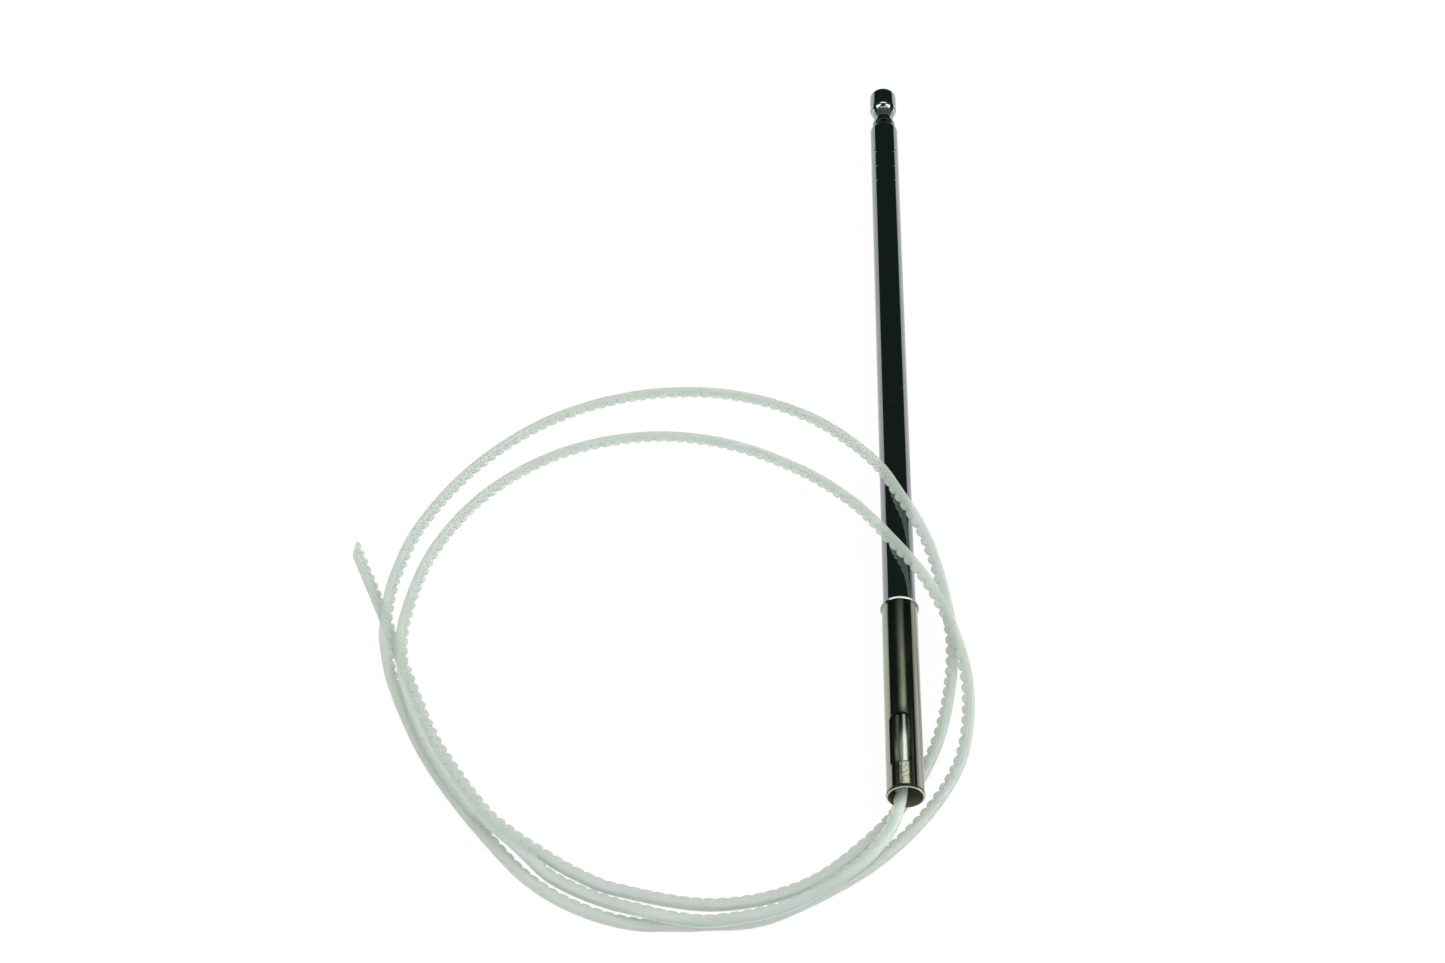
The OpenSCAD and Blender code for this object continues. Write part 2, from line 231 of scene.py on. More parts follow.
class Finish:
    """A node material for one finish, built from one node method."""

    def __init__(self, name, tree=None):
        if tree is None:
            self.material = bpy.data.materials.new(name)
            self.material.use_nodes = True
            tree = self.material.node_tree
        self.tree = tree
        self.tree.nodes.clear()

    def node(self, kind, settings=None, inputs=None):
        made = self.tree.nodes.new(kind)
        for key, value in (settings or {}).items():
            setattr(made, key, value)
        for key, value in (inputs or {}).items():
            source = value.socket if isinstance(value, Wire) else value
            if isinstance(source, bpy.types.NodeSocket):
                self.tree.links.new(source, made.inputs[key])
            else:
                made.inputs[key].default_value = value
        return made

    def wire(self, kind, settings=None, inputs=None, output=0):
        return Wire(self, self.node(kind, settings, inputs).outputs[output])

    def place(self, rotation=(0, 0, 0), scale=(1, 1, 1), source=None):
        """Coordinates for a pattern: the piece's own, or those of a source socket."""
        if source is None:
            source = self.node("ShaderNodeTexCoord").outputs["Object"]
        inputs = {"Vector": source, "Rotation": rotation, "Scale": scale}
        return self.wire("ShaderNodeMapping", None, inputs)

    def apart(self, vector):
        """The three coordinates of a vector."""
        node = self.node("ShaderNodeSeparateXYZ", None, {0: vector})
        return [Wire(self, socket) for socket in node.outputs]

    def noise(self, vector, scale, detail=3, roughness=0.5):
        inputs = {"Vector": vector, "Scale": scale, "Detail": detail, "Roughness": roughness}
        return self.wire("ShaderNodeTexNoise", None, inputs)

    def ease(self, value, low, high, start=0.0, end=1.0):
        """Takes the range low to high smoothly to start to end."""
        inputs = {"Value": value, 1: low, 2: high, 3: start, 4: end}
        settings = {"interpolation_type": "SMOOTHSTEP"}
        return self.wire("ShaderNodeMapRange", settings, inputs)

    def fade(self, value, low, high):
        """1 below the range low to high, and 0 above it."""
        return self.ease(value, low, high, 1, 0)

    def band(self, value, rise, fall):
        """Comes up to 1 over the range rise, and goes back to 0 over the range fall."""
        return self.ease(value, *rise) * self.fade(value, *fall)

    def blend(self, factor, first, second):
        inputs = {0: factor, 6: rgba(first), 7: rgba(second)}
        return self.wire("ShaderNodeMix", {"data_type": "RGBA"}, inputs, 2)

    def coats(self, base, *layers):
        """Lays each layer's colour over the base colour where the layer's mask is 1."""
        for mask, tone in layers:
            base = self.blend(mask, base, tone)
        return base

    def bump(self, height, strength, distance):
        inputs = {"Height": height, "Strength": strength, "Distance": distance}
        return self.wire("ShaderNodeBump", None, inputs)

    def surface(self, **inputs):
        """Ends the material with one Principled shader."""
        named = {key.replace("_", " "): value for key, value in inputs.items()}
        shader = self.node("ShaderNodeBsdfPrincipled", None, named)
        self.node("ShaderNodeOutputMaterial", None, {"Surface": shader.outputs[0]})
        return self.material


# ---------------------------------------------------------------- finishes


def along_mast(finish, scale=(1, 1, 1)):
    """Object coordinates turned so that Y runs along the leaning mast."""
    return finish.place(rotation=(LEAN, 0, 0), scale=scale)


def mast_place(finish):
    """Place on the mast: across it, up it from the sleeve's mouth, and over its axis."""
    mouth = Matrix.Rotation(LEAN, 3, "X") @ MOUTH
    return [value - start for value, start in zip(finish.apart(along_mast(finish)), mouth)]


def chrome_plate():
    """Drawn chrome. The cap's bevel is painted bright, with painted dark bands below and atop it.
    """
    finish = Finish("chrome_plate")
    tint = tuple(finish_colours().chrome)
    across, up, _ = mast_place(finish)
    drawn = finish.noise(along_mast(finish, (1, 0.02, 1)), 2600, 2, 0.6)
    cloud = finish.noise(along_mast(finish, (1, 0.35, 1)), 120, 4, 0.55)
    speck = finish.ease(finish.noise(along_mast(finish), 900, 2), 0.66, 0.72)
    mid_bevel = (BEVEL_TOP - 1.6 * MM, BEVEL_TOP - 1.0 * MM)
    # Painted highlight: the bevel's tint is raised so that the lamps' reflections there read
    # white.
    bevel = finish.band(up, mid_bevel, (DRUM_LOW, DRUM_LOW + 0.3 * MM))
    # Painted shade: a dark olive band under the bevel that hides a lamp's reflection there.
    painted_dull_band = finish.band(up, (WAIST_TOP - 1.1 * MM, WAIST_TOP - 0.1 * MM), mid_bevel)
    painted_dull_band = painted_dull_band * finish.fade(abs(across), 1.5 * MM, 2.6 * MM)
    # Painted shade: a dark line along the bevel's top, between its highlights and the drum's.
    painted_dark_line = finish.fade(abs(up - BEVEL_TOP), 0.12 * MM, 0.3 * MM)
    tones = finish.coats(
        tint,
        (finish.ease(cloud, 0.35, 0.7), shade(tint, 0.9)),
        (bevel, shade(tint, 1.9)),
        (painted_dull_band, (0.06, 0.07, 0.045)),
        (painted_dark_line * 0.9, (0.03, 0.035, 0.03)),
    )
    rough = 0.05 + finish.ease(cloud, 0.4, 0.75) * 0.06 + speck * 0.12 + drawn * 0.02
    normal = finish.bump(drawn * 0.5 + cloud * 0.6, 0.12, 0.02 * MM)
    return finish.surface(
        Base_Color=tones, Metallic=1 - painted_dull_band * 0.6, Roughness=rough + painted_dull_band * 0.15, Normal=normal,
    )


def nickel_plate():
    """Warm nickel with painted dark reflection along its top, painted highlights and shade, and
    wear.
    """
    finish = Finish("nickel_plate")
    size, tint = sizes(), tuple(finish_colours().nickel)
    across, up, over = mast_place(finish)
    drawn = finish.noise(along_mast(finish, (1, 0.03, 1)), 2200, 3, 0.65)
    cloud = finish.noise(along_mast(finish, (1, 0.3, 1)), 160, 4, 0.6)
    grain = finish.noise(along_mast(finish), 1500, 3, 0.7)
    clouded = finish.ease(cloud, 0.42, 0.7)
    drift = (cloud - 0.5) * 0.7 * MM
    root, tip, top = size.tongue_root, size.tongue_root + size.tongue_length, size.sleeve_length
    bore = size.tube_radius + SEAT_GAP

    def line(middle, half, soft):
        """A wandering line up the sleeve: its middle and its two half widths in millimetres."""
        return finish.fade(abs(across - middle * MM + drift * 0.3), half * MM, soft * MM)

    radius = (across * across + over * over) ** 0.5
    inside = finish.fade(radius, bore + 0.05 * MM, bore + 0.12 * MM)
    outside = 1 - inside
    # Painted dark reflection along the top, fading out towards both sides.
    painted_dark_top = finish.fade(abs(across + drift * 0.5), 2.8 * MM, 4.1 * MM)
    # A painted soft highlight streak runs along the top, from the tongue's end to the bead.
    painted_sheen_streak = finish.ease(across + drift, -2.1 * MM, 0.1 * MM)
    painted_sheen_streak = painted_sheen_streak * finish.fade(across + drift * 0.5, 0.1 * MM, 0.95 * MM)
    painted_sheen_streak = painted_sheen_streak * finish.ease(up, tip, tip + 4 * MM) * (0.75 + drawn * 0.5)
    painted_sheen_streak = painted_sheen_streak * finish.ease(up, 35 * MM, 60 * MM, 1, 0.5)
    # Under the tongue's root the plate is worn to a rough gold.
    worn = finish.band(up, (1.0 * MM, 1.4 * MM), (root - 0.3 * MM, root))
    worn = worn * (line(-0.2, 0.55, 1.15) + line(-1.55, 0.05, 0.4) * 0.5)
    worn = worn * finish.ease(grain, 0.38, 0.58, 0.5, 1)
    # Painted highlights run down the tongue's crown, the main one wider towards its root.
    crown = finish.band(up, (root, root + 0.5 * MM), (tip - 0.4 * MM, tip))
    spread = finish.ease(up, root, tip, 0.26 * MM, 0.17 * MM)
    painted_shine = finish.fade((abs(across + 0.2 * MM) - spread) / (0.36 * MM), 0, 1) * crown
    painted_faint_shine = line(-1.9, 0.1, 0.6) * crown * 0.5
    # Painted reflection: one side is paler. Painted highlight on the mouth's lip.
    side = finish.band(across, (2.55 * MM, 2.95 * MM), (3.5 * MM, 4.1 * MM)) * outside
    painted_lip_shine = finish.fade(up, 0.12 * MM, 0.25 * MM) * outside
    # Painted shadow in a groove above the lip.
    painted_groove_shade = finish.band(up, (0.2 * MM, 0.3 * MM), (0.85 * MM, 1.05 * MM)) * outside
    # Painted highlight along the bead's crest.
    painted_crest_shine = finish.ease(up, top - 1.15 * MM, top - 0.9 * MM) * outside
    painted_crest_shine = painted_crest_shine * finish.fade(abs(across), 2.7 * MM, 3.7 * MM)
    gold = (0.54, 0.55, 0.39)
    tones = finish.coats(
        tint,
        (clouded * 0.5, shade(tint, 0.8)),
        (painted_dark_top, (0.13, 0.14, 0.105)),
        (painted_sheen_streak, (0.44, 0.46, 0.33)),
        (worn, gold),
        (painted_shine, (0.46, 0.53, 0.48)),
        (painted_faint_shine, gold),
        (inside, (0.205, 0.21, 0.135)),
        (side, (0.29, 0.295, 0.25)),
        (painted_groove_shade * 0.9, (0.04, 0.04, 0.032)),
        (painted_lip_shine, (0.5, 0.5, 0.42)),
        (painted_crest_shine, (0.82, 0.83, 0.76)),
    )
    metal = 1 - (painted_sheen_streak * 0.24 + worn * 0.6 + painted_shine * 0.5 + painted_faint_shine * 0.3) * (1 - painted_crest_shine)
    metal = metal - (inside * 0.6 + painted_lip_shine * 0.6 + side * 0.5 * (1 - painted_crest_shine) + painted_crest_shine * 0.7)
    rough = 0.1 + clouded * 0.04 + drawn * 0.04 + worn * 0.2
    normal = finish.bump(drawn * 0.7 + cloud * 0.4 + worn * grain * 3.0, 0.2, 0.03 * MM)
    return finish.surface(Base_Color=tones, Metallic=metal, Roughness=rough, Normal=normal)


def turned_metal(name, tint, base_rough=0.22):
    """Turned or rolled metal with fine marks round it and a few stains."""
    finish = Finish(name)
    marks = finish.noise(along_mast(finish, (0.05, 1, 0.05)), 4200, 2, 0.6)
    stain = finish.ease(finish.noise(along_mast(finish), 420, 4, 0.6), 0.45, 0.75)
    tones = finish.blend(stain, tuple(tint), shade(tint, 0.68))
    rough = base_rough + marks * 0.1 + stain * 0.15
    normal = finish.bump(marks, 0.25, 0.02 * MM)
    return finish.surface(Base_Color=tones, Metallic=1.0, Roughness=rough, Normal=normal)


def moulded_nylon():
    """Milky nylon. It reads the straight rack's own coordinates, so its marks follow the cord."""
    finish = Finish("moulded_nylon")
    tint = tuple(finish_colours().nylon)
    warm, cool = [
        tuple(t * share for t, share in zip(tint, shares))
        for shares in ((1.01, 0.995, 0.965), (0.98, 1.0, 1.015))
    ]
    rack = finish.node("ShaderNodeAttribute", {"attribute_name": "rack_place"}).outputs["Vector"]
    along, _, up = finish.apart(rack)
    cloud = finish.noise(finish.place(scale=(0.12, 1, 1), source=rack), 200, 3, 0.55)
    flow = finish.noise(finish.place(scale=(0.015, 1, 1), source=rack), 1500, 3, 0.6)
    grain = finish.noise(finish.place(source=rack), 2400, 2, 0.5)
    # The underside is painted paler, for light that soaks through the nylon.
    painted_pale_underside = finish.ease(up, 0.3 * MM, -1.0 * MM)
    # The cord is denser at the mouth; it is painted paler there, and paler still in the sleeve,
    # against shade.
    painted_pale_and_dense = finish.fade(along, 35 * MM, 60 * MM)
    painted_pale_in_sleeve = finish.fade(along, 24 * MM, 32 * MM)
    tones = finish.coats(
        warm,
        (finish.ease(cloud, 0.35, 0.65), cool),
        (finish.ease(flow, 0.5, 0.75) * 0.2, shade(tint, 0.94)),
        (painted_pale_underside * 0.8, shade(tint, 1.6)),
        (painted_pale_and_dense, shade(tint, 1.1)),
        (painted_pale_in_sleeve, shade(tint, 1.5)),
    )
    rough = 0.42 + cloud * 0.1 + flow * 0.06
    normal = finish.bump(flow * 0.6 + grain * 0.4, 0.12, 0.04 * MM)
    return finish.surface(
        Base_Color=tones, Roughness=rough, Normal=normal, IOR=1.4, Alpha=0.62 + painted_pale_and_dense * 0.33,
        Subsurface_Weight=1.0, Subsurface_Radius=(1.0, 1.0, 0.95), Subsurface_Scale=4 * MM,
    )


FINISHES = {}


def finished(name):
    """The material of a finish, made once."""
    if name not in FINISHES:
        colours = finish_colours()
        makers = {
            "chrome_plate": chrome_plate,
            "nickel_plate": nickel_plate,
            "moulded_nylon": moulded_nylon,
            "turned_brass": lambda: turned_metal("turned_brass", colours.brass),
            "rolled_bronze": lambda: turned_metal("rolled_bronze", colours.bronze, 0.28),
            "ground_steel": lambda: turned_metal("ground_steel", colours.steel, 0.16),
        }
        FINISHES[name] = makers[name]()
    return FINISHES[name]


# ---------------------------------------------------------------- modelling helpers


def arc(centre, radius, start, end, steps):
    """Points of a circle's arc in a plane, with angles in degrees."""
    turns = [math.radians(start + (end - start) * k / steps) for k in range(steps + 1)]
    return [
        (centre[0] + radius * math.cos(t), centre[1] + radius * math.sin(t)) for t in turns
    ]


def apply_modifiers(piece):
    """Puts what the piece's modifiers make into its mesh."""
    graph = bpy.context.evaluated_depsgraph_get()
    mesh = bpy.data.meshes.new_from_object(piece.evaluated_get(graph))
    old = piece.data
    piece.modifiers.clear()
    piece.data = mesh
    bpy.data.meshes.remove(old)


def smooth(piece, sharp):
    """Smooth shading, with the edges past an angle in degrees kept sharp."""
    piece.data.polygons.foreach_set("use_smooth", [True] * len(piece.data.polygons))
    piece.data.set_sharp_from_angle(angle=math.radians(sharp))


def add_piece(name, bm, finish=None, sharp=40):
    """Links a bmesh as a smooth piece."""
    bmesh.ops.recalc_face_normals(bm, faces=bm.faces)
    mesh = bpy.data.meshes.new(name)
    bm.to_mesh(mesh)
    bm.free()
    piece = bpy.data.objects.new(name, mesh)
    bpy.context.scene.collection.objects.link(piece)
    smooth(piece, sharp)
    if finish:
        mesh.materials.append(finished(finish))
    return piece


def lathe(outline, closed=True):
    """Spins a half section, given as radius and height, round the upright axis. A closed
    section makes a wall, and an open one starts and ends on the axis."""
    bm = bmesh.new()
    verts = [bm.verts.new((radius, 0, height)) for radius, height in outline]
    pairs = list(zip(verts, verts[1:]))
    if closed:
        pairs.append((verts[-1], verts[0]))
    edges = [bm.edges.new(pair) for pair in pairs]
    bmesh.ops.spin(
        bm, geom=verts + edges, cent=(0, 0, 0), axis=(0, 0, 1), angle=2 * math.pi,
        steps=LATHE_STEPS, use_merge=True, use_duplicate=False,
    )
    bmesh.ops.remove_doubles(bm, verts=bm.verts, dist=SAME_PLACE)
    return bm


def dress(name, finish):
    """Gives a CAD node that stays its finish."""
    node = frame["nodes"][name]
    node.data.materials.clear()
    node.data.materials.append(finished(finish))


# ---------------------------------------------------------------- drive cord


# Down the lower half of the rack's toothed side: height as a share of the half thickness, and
# how far out the gap's floor and the tooth stand, as shares of the root and the tooth's depth
RACK_FLANK = [(0.97, 0, 0), (0.62, 0.8, 0.03), (0.46, 0.92, 0.55), (0.26, 0.98, 0.88), (0, 1, 1)]

# Place along one pitch, and how far the tooth's dome stands out there
TOOTH_STEPS = [
    (0, 0), (0.07, 0.02), (0.09, 0.3), (0.14, 0.54), (0.23, 0.78), (0.36, 0.94), (0.5, 1),
    (0.64, 0.94), (0.77, 0.78), (0.86, 0.54), (0.91, 0.3), (0.93, 0.02), (1, 0),
]

# Distance along the cord, and the share of the gaps between its teeth that is moulded shut there
GAPS_SHUT = [
    (0, 0.65), (0.13, 0.65), (0.15, 0), (0.26, 0), (0.31, 0.2), (0.41, 0.2), (0.45, 0.15),
    (0.49, 0.25), (0.53, 0.6), (0.69, 0.6), (0.73, 0), (0.79, 0), (0.84, 0.2), (0.92, 0.2),
    (1.0, 0.15), (1.04, 0.5), (1.06, 0.7), (1.12, 0.7), (1.16, 0), (1.3, 0),
]

FAR_END_CUT = (0.46, 0.89, 0)  # which way the slanted cut at the cord's far end faces


def rack_section(tooth):
    """Section of the rack across its length, as (side, up). Teeth point to -side, and tooth
    runs from 0 at a gap's floor to 1 at a tooth's tip."""
    cord = cord_sizes()
    back, bend = cord.thickness / 2, cord.corner
    edge, root = cord.width / 2 - bend, cord.width / 2 - cord.tooth_depth
    points = arc((edge, back - bend), bend, 90, 0, 3) + arc((edge, bend - back), bend, 0, -90, 3)
    flank = [
        (-root * floor - cord.tooth_depth * tooth * reach, -back * height)
        for height, floor, reach in RACK_FLANK
    ]
    return points + flank + [(side, -up) for side, up in reversed(flank[:-1])]


def rack_cell():
    """One pitch of the straight rack, open at both ends, along +X."""
    cord = cord_sizes()
    bm = bmesh.new()
    ring = bmesh.ops.create_circle(bm, segments=len(rack_section(0)), radius=MM)["verts"]
    edges = list(bm.edges)
    for step, (place, tooth) in enumerate(TOOTH_STEPS):
        if step:
            made = bmesh.ops.extrude_edge_only(bm, edges=edges)["geom"]
            edges = [g for g in made if isinstance(g, bmesh.types.BMEdge)]
            # The new ring keeps the order of the old one.
            new = [g for g in made if isinstance(g, bmesh.types.BMVert)]
            near = {tuple(round(c, 7) for c in v.co): v for v in new}
            ring = [near[tuple(round(c, 7) for c in v.co)] for v in ring]
        for vert, (side, up) in zip(ring, rack_section(tooth)):
            vert.co = (place * cord.tooth_pitch, side, up)
    return bm


def between(table, value):
    """Reads a table of pairs at a value, on straight lines from one pair to the next."""
    for (start, low), (end, high) in zip(table, table[1:]):
        if value <= end:
            return low + (high - low) * (value - start) / (end - start)
    return table[-1][1]


def shut_gaps(bm):
    """Raises the floors of the gaps between the teeth by the shares in GAPS_SHUT."""
    cord = cord_sizes()
    reaches = [(height, reach) for height, _, reach in reversed(RACK_FLANK)]
    for vert in bm.verts:
        if vert.co.y < 0:
            tooth = between(TOOTH_STEPS, vert.co.x / cord.tooth_pitch % 1)
            reach = between(reaches, abs(vert.co.z) / (cord.thickness / 2))
            shut = between(GAPS_SHUT, vert.co.x) * (1 - tooth)
            vert.co.y -= shut * cord.tooth_depth * reach


def straight_rack(whole):
    """The rack along +X, as long as the route and cut off at a slant at its far end."""
    cord = cord_sizes()
    rack = add_piece("toothed_cord", rack_cell())
    repeat = rack.modifiers.new("teeth", "ARRAY")
    repeat.count = cord.teeth
    repeat.use_relative_offset, repeat.use_constant_offset = False, True
    repeat.constant_offset_displace = (cord.tooth_pitch, 0, 0)
    repeat.use_merge_vertices, repeat.merge_threshold = True, 1e-6
    apply_modifiers(rack)
    bm = bmesh.new()
    bm.from_mesh(rack.data)
    shut_gaps(bm)
    bmesh.ops.bisect_plane(
        bm, geom=bm.verts[:] + bm.edges[:] + bm.faces[:], dist=SAME_PLACE, clear_outer=True,
        plane_co=(whole, cord.tooth_depth - cord.width / 2, 0), plane_no=FAR_END_CUT,
    )
    bmesh.ops.holes_fill(bm, edges=[e for e in bm.edges if e.is_boundary], sides=0)
    bmesh.ops.recalc_face_normals(bm, faces=bm.faces)
    place = bm.verts.layers.float_vector.new("rack_place")
    for vert in bm.verts:
        vert[place] = vert.co
    bm.to_mesh(rack.data)
    bm.free()
    return rack


def route_curve():
    """The cord's centreline as a curve whose Z stays up, with its points and its length."""
    lift = cord_sizes().thickness / 2
    points = [Vector((x, y, z + lift)) for x, y, z in ROUTE]
    before = [2 * points[0] - points[1]] + points[:-1]
    after = points[1:] + [2 * points[-1] - points[-2]]
    curve = bpy.data.curves.new("cord_route", "CURVE")
    curve.dimensions, curve.twist_mode, curve.resolution_u = "3D", "Z_UP", SPAN_STEPS
    spline = curve.splines.new("BEZIER")
    spline.bezier_points.add(len(points) - 1)
    for knot, middle, back, ahead in zip(spline.bezier_points, points, before, after):
        knot.handle_left_type = knot.handle_right_type = "FREE"
        knot.co = middle
        knot.handle_left = middle - (ahead - back) / 6
        knot.handle_right = middle + (ahead - back) / 6
    line = [points[0]]
    for first, second in zip(spline.bezier_points, spline.bezier_points[1:]):
        span = interpolate_bezier(
            first.co, first.handle_right, second.handle_left, second.co, SPAN_STEPS + 1
        )
        line += span[1:]
    path = bpy.data.objects.new("cord_route", curve)
    bpy.context.scene.collection.objects.link(path)
    return path, line, sum((b - a).length for a, b in zip(line, line[1:]))


def bend_along(piece, path):
    """Bends a straight piece along a curve, which is removed."""
    bend = piece.modifiers.new("bend", "CURVE")
    bend.object, bend.deform_axis = path, "POS_X"
    bpy.context.view_layer.update()
    apply_modifiers(piece)
    bpy.data.objects.remove(path)


class MAST_OT_drive_cord(bpy.types.Operator):
    """Bend the toothed nylon cord along its turns"""

    bl_idname = "mast.drive_cord"
    bl_label = "Drive Cord"
    bl_options = {"REGISTER", "UNDO"}

    def execute(self, context):
        cord = cord_sizes()
        path, line, whole = route_curve()
        if cord.teeth * cord.tooth_pitch < whole:
            raise ValueError("the teeth don't reach the end of the cord's route")
        piece = straight_rack(whole)
        bend_along(piece, path)
        piece.data.materials.clear()
        piece.data.materials.append(finished("moulded_nylon"))
        smooth(piece, sharp=50)
        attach(piece, "base")
        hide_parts("drive_cord")
        return {"FINISHED"}


# ---------------------------------------------------------------- mast


class MAST_OT_contact_sleeve(bpy.types.Operator):
    """Spin the contact sleeve and cut its spring tongue"""

    bl_idname = "mast.contact_sleeve"
    bl_label = "Contact Sleeve"
    bl_options = {"REGISTER", "UNDO"}

    def execute(self, context):
        size = sizes()
        outline = self.half_section(size)
        piece = add_piece("sleeve_shell", lathe(outline), "nickel_plate", sharp=32)
        self.cut_tongue(piece, size)
        self.bow_tongue(piece, size)
        piece.data.transform(MAST)
        smooth(piece, sharp=32)
        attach(piece, "base")
        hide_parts("contact_sleeve")
        return {"FINISHED"}

    @staticmethod
    def half_section(size):
        """The sleeve's wall with its rolled rim and bead, in rows that let the tongue bend."""
        bore, wall, rows = size.tube_radius + SEAT_GAP, size.sleeve_wall, 72
        rim, bead = wall + size.rim_rise, wall + size.bead_rise
        rim_end, bead_end = [math.degrees(math.acos(wall / roll)) for roll in (rim, bead)]
        rim_line = arc((bore, rim), rim, -90, rim_end, 10)
        bead_line = arc((bore, size.sleeve_length - bead), bead, -bead_end, 84, 12)
        low, high = rim_line[-1][1], bead_line[0][1]
        heights = [low + (high - low) * k / rows for k in range(1, rows)]
        outside = rim_line + [(bore + wall, h) for h in heights] + bead_line
        return outside + [(bore, size.sleeve_length)] + [(bore, h) for h in reversed(heights)]

    @staticmethod
    def arch(bm, width, height, corner, foot):
        """The edges of an open arch, drawn inside the bore under the sleeve's top side."""
        points = [(-width / 2, foot)]
        for side, start in ((-1, 180), (1, 90)):
            centre = (side * (width / 2 - corner), height - corner)
            points += arc(centre, corner, start, start - 90, 8)
        points += [(width / 2, foot)]
        verts = [bm.verts.new((across, CUT_FROM, up)) for across, up in points]
        return [bm.edges.new(pair) for pair in zip(verts, verts[1:])]

    def cut_tongue(self, piece, size):
        """Cuts the slot that frees the tongue at its sides and its end."""
        cut, width, corner = size.tongue_cut, size.tongue_width, size.cut_corner
        root, end = size.tongue_root, size.tongue_root + size.tongue_length
        bm = bmesh.new()
        edges = self.arch(bm, width + 2 * cut, end + cut, corner, root)
        edges += self.arch(bm, width, end, corner - cut, root)
        bmesh.ops.bridge_loops(bm, edges=edges)
        made = bmesh.ops.extrude_face_region(bm, geom=bm.faces[:])["geom"]
        moved = [g for g in made if isinstance(g, bmesh.types.BMVert)]
        bmesh.ops.translate(bm, verts=moved, vec=(0, CUT_TO - CUT_FROM, 0))
        bmesh.ops.transform(bm, matrix=TONGUE_TURN, verts=bm.verts)
        cutter = add_piece("tongue_cutter", bm)
        hole = piece.modifiers.new("cut", "BOOLEAN")
        hole.operation, hole.solver, hole.object = "DIFFERENCE", "EXACT", cutter
        bpy.context.view_layer.update()
        apply_modifiers(piece)
        bpy.data.objects.remove(cutter)

    @staticmethod
    def bow_tongue(piece, size):
        """Bends the freed tongue outwards. The bow is highest past the tongue's middle."""
        back = TONGUE_TURN.inverted()
        reach = size.tongue_width / 2 + 0.05 * MM
        for vert in piece.data.vertices:
            local = back @ vert.co
            share = (local.z - size.tongue_root) / size.tongue_length
            if local.y < 0 and abs(local.x) < reach and 0 < share < 1.02:
                out = Vector((vert.co.x, vert.co.y, 0)).normalized()
                bow = math.sin(math.pi * 0.8 * min(1, share)) ** 1.3
                vert.co += out * size.tongue_bow * bow


class MAST_OT_tip_cap(bpy.types.Operator):
    """Spin the turned cap at the mast's tip"""

    bl_idname = "mast.tip_cap"
    bl_label = "Tip Cap"
    bl_options = {"REGISTER", "UNDO"}

    def execute(self, context):
        outline = self.half_section(sizes())
        piece = add_piece("turned_cap", lathe(outline, closed=False), "chrome_plate", sharp=30)
        piece.data.transform(MAST)
        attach(piece, "tip")
        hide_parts("tip_cap")
        return {"FINISHED"}

    @staticmethod
    def half_section(size):
        """The cap's foot, waist, hollow bevel, drum and crown."""
        soft, crown = 0.12 * MM, 1.3 * MM
        cap, waist, foot = size.cap_radius, size.waist_radius, size.foot_radius
        edge = cap - size.edge_drop
        outline = [(0, CAP_BASE), (foot - soft, CAP_BASE)]
        outline += arc((foot - soft, CAP_BASE + soft), soft, -80, 0, 4)
        outline += [(foot, CAP_BASE + 1.0 * MM), (waist, WAIST_LOW), (waist, WAIST_TOP)]
        outline += [
            (waist + (edge - waist) * share ** 2, WAIST_TOP + (BEVEL_TOP - WAIST_TOP) * share)
            for share in [k / 16 for k in range(1, 17)]
        ]
        # A narrow cone on the drum's lower end, with short rounds at both of its ends
        outline += [
            (edge + size.edge_drop * share, BEVEL_TOP + (DRUM_LOW - BEVEL_TOP) * share)
            for share in (0.1, 0.9)
        ]
        outline += [(cap, DRUM_LOW + 0.15 * MM), (cap, DRUM_LOW + 0.3 * MM), (cap, CROWN_LOW)]
        outline += arc((cap - crown, CROWN_LOW), crown, 10, 90, 10)
        return outline + [(0, MAST_TIP)]


class MAST_OT_tubes(bpy.types.Operator):
    """Finish the outer tube, the sliding sections and the rod"""

    bl_idname = "mast.tubes"
    bl_label = "Tubes and Rod"
    bl_options = {"REGISTER", "UNDO"}

    def execute(self, context):
        for name in ("outer_tube", "section_2_tube", "section_3_tube", "section_4_tube"):
            dress(name, "chrome_plate")
        dress("tip_rod", "ground_steel")
        return {"FINISHED"}


class MAST_OT_fittings(bpy.types.Operator):
    """Finish the rings, springs, bush and ferrule inside the tubes"""

    bl_idname = "mast.fittings"
    bl_label = "Inner Fittings"
    bl_options = {"REGISTER", "UNDO"}

    def execute(self, context):
        for name in frame["nodes"]:
            if name.endswith(("_ring", "_bush", "_ferrule")):
                dress(name, "turned_brass")
            elif name.endswith("_spring"):
                dress(name, "rolled_bronze")
        dress("cord_tail", "moulded_nylon")
        return {"FINISHED"}


# ---------------------------------------------------------------- stage


LAMP_AIM = Vector((0, -0.03, 0))

# Each lamp's place, its two sides, its power in watts, and the rays that don't see it
LAMPS = {
    "key": ((0.4, -0.05, 0.5), (0.8, 0.8), 3.1, "visible_glossy"),
    "sheen_left": ((-0.74, 0.3, 0.85), (0.34, 0.8), 2.0, "visible_diffuse"),
    "sheen_right": ((0.6, 0.28, 0.96), (0.36, 1.0), 2.6, "visible_diffuse"),
    "sheen_top": ((0.0, 0.65, 1.2), (1.3, 0.18), 1.6, "visible_diffuse"),
}

# The surroundings as they light the object, and as metal mirrors them
DAYLIGHT, MIRRORED = (0.93, 0.93, 0.93), (0.027, 0.041, 0.036)
TABLE_GLOW = 0.97  # how far the table's white hides the shadows on it


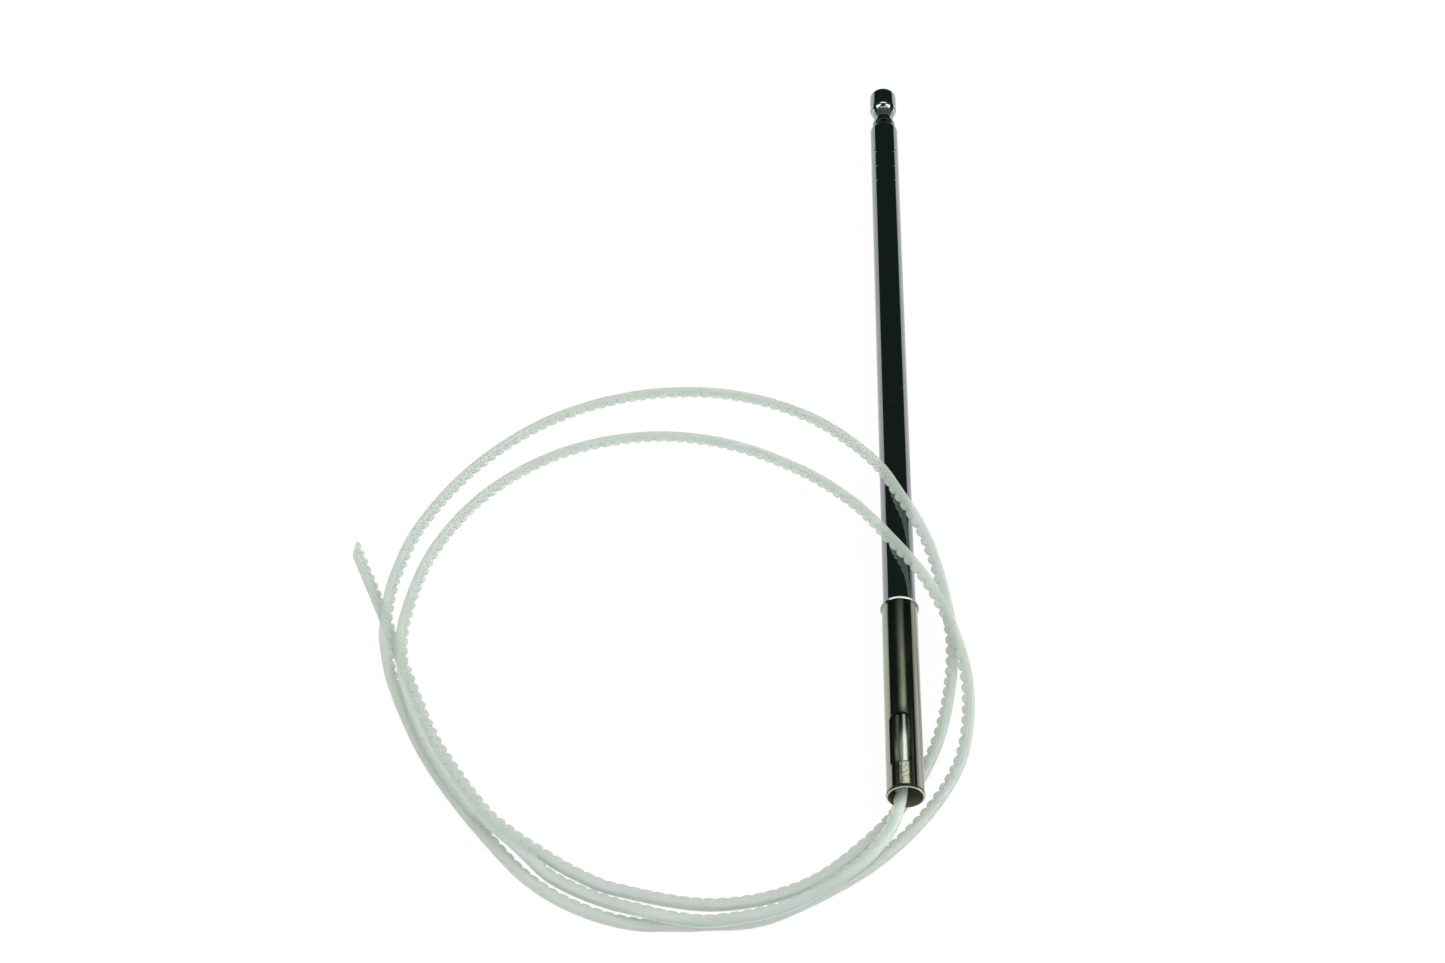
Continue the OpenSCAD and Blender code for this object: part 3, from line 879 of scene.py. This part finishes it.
class MAST_OT_stage(bpy.types.Operator):
    """Set up the camera, the table, the lights and the surroundings"""

    bl_idname = "mast.stage"
    bl_label = "Stage"
    bl_options = {"REGISTER", "UNDO"}

    def execute(self, context):
        context.scene.view_settings.view_transform = "Standard"
        self.camera(context)
        self.table()
        for name, settings in LAMPS.items():
            self.lamp(context, name, *settings)
        self.surroundings(context)
        return {"FINISHED"}

    @staticmethod
    def camera(context):
        data = bpy.data.cameras.new("camera")
        data.lens, data.sensor_width = 56.55, 36
        data.clip_start, data.clip_end = 0.01, 20
        camera = bpy.data.objects.new("camera", data)
        camera.location = (-0.038, -0.4703, 0.495)
        camera.rotation_euler = (math.radians(41.7), 0, math.radians(1.553))
        context.scene.collection.objects.link(camera)
        context.scene.camera = camera

    @staticmethod
    def lamp(context, name, place, extent, power, unseen_by):
        data = bpy.data.lights.new(name, "AREA")
        data.shape, data.size, data.size_y, data.energy = "RECTANGLE", *extent, power
        lamp = bpy.data.objects.new(name, data)
        lamp.location = place
        lamp.rotation_euler = (LAMP_AIM - Vector(place)).to_track_quat("-Z", "Y").to_euler()
        setattr(lamp, unseen_by, False)
        context.scene.collection.objects.link(lamp)

    @staticmethod
    def table():
        """A wide pale table. It lights the object as a matt one and looks almost white."""
        bm = bmesh.new()
        bmesh.ops.create_grid(bm, x_segments=1, y_segments=1, size=4)
        table = add_piece("table", bm)
        finish = Finish("pale_table")
        matt = finish.node("ShaderNodeBsdfDiffuse", None, {"Color": rgba(finish_colours().table)})
        glow = finish.node("ShaderNodeEmission", None, {"Color": (1, 1, 1, 1), "Strength": 1.0})
        # The glow is for the rays that see the background: straight, in metal or through nylon.
        rays = finish.node("ShaderNodeLightPath")
        seen = Wire(finish, rays.outputs["Is Camera Ray"])
        for kind in ("Is Glossy Ray", "Is Transmission Ray"):
            seen = seen.math("MAXIMUM", rays.outputs[kind])
        shaders = {0: seen * TABLE_GLOW, 1: matt.outputs[0], 2: glow.outputs[0]}
        mixed = finish.node("ShaderNodeMixShader", None, shaders)
        finish.node("ShaderNodeOutputMaterial", None, {"Surface": mixed.outputs[0]})
        table.data.materials.append(finish.material)

    @staticmethod
    def surroundings(context):
        """An even pale world, which looks white and is dark where metal mirrors it."""
        world = bpy.data.worlds.new("studio")
        world.use_nodes = True
        finish = Finish("studio", world.node_tree)
        rays = finish.node("ShaderNodeLightPath")
        tone = finish.coats(
            DAYLIGHT,
            (Wire(finish, rays.outputs["Is Glossy Ray"]), MIRRORED),
            (Wire(finish, rays.outputs["Is Camera Ray"]), (1, 1, 1)),
        )
        back = finish.node("ShaderNodeBackground", None, {"Color": tone})
        finish.node("ShaderNodeOutputWorld", None, {"Surface": back.outputs[0]})
        context.scene.world = world


# ---------------------------------------------------------------- add-on


OPERATORS = (
    MAST_OT_stage, MAST_OT_drive_cord, MAST_OT_contact_sleeve, MAST_OT_tubes, MAST_OT_tip_cap,
    MAST_OT_fittings,
)


class MAST_PT_sidebar(bpy.types.Panel):
    """Lists the mast's pieces in the order in which they are made"""

    bl_idname = "MAST_PT_sidebar"
    bl_label = "Telescopic Mast"
    bl_space_type = "VIEW_3D"
    bl_region_type = "UI"
    bl_category = "Mast"

    def draw(self, context):
        for operator in OPERATORS:
            self.layout.operator(operator.bl_idname)
        for group in ("mast_sizes", "cord_sizes", "mast_finish"):
            values = getattr(context.scene, group)
            column = self.layout.column(align=True)
            for key in values.bl_rna.properties.keys():
                if key not in {"rna_type", "name"}:
                    column.prop(values, key)


CLASSES = (MastSizes, CordSizes, MastFinish, *OPERATORS, MAST_PT_sidebar)


def register():
    for cls in CLASSES:
        bpy.utils.register_class(cls)
    bpy.types.Scene.mast_sizes = PointerProperty(type=MastSizes)
    bpy.types.Scene.cord_sizes = PointerProperty(type=CordSizes)
    bpy.types.Scene.mast_finish = PointerProperty(type=MastFinish)


def unregister():
    del bpy.types.Scene.mast_finish, bpy.types.Scene.cord_sizes, bpy.types.Scene.mast_sizes
    for cls in reversed(CLASSES):
        bpy.utils.unregister_class(cls)


def main():
    register()
    for operator in OPERATORS:
        group, action = operator.bl_idname.split(".")
        getattr(getattr(bpy.ops, group), action)()


if __name__ == "__main__":
    main()
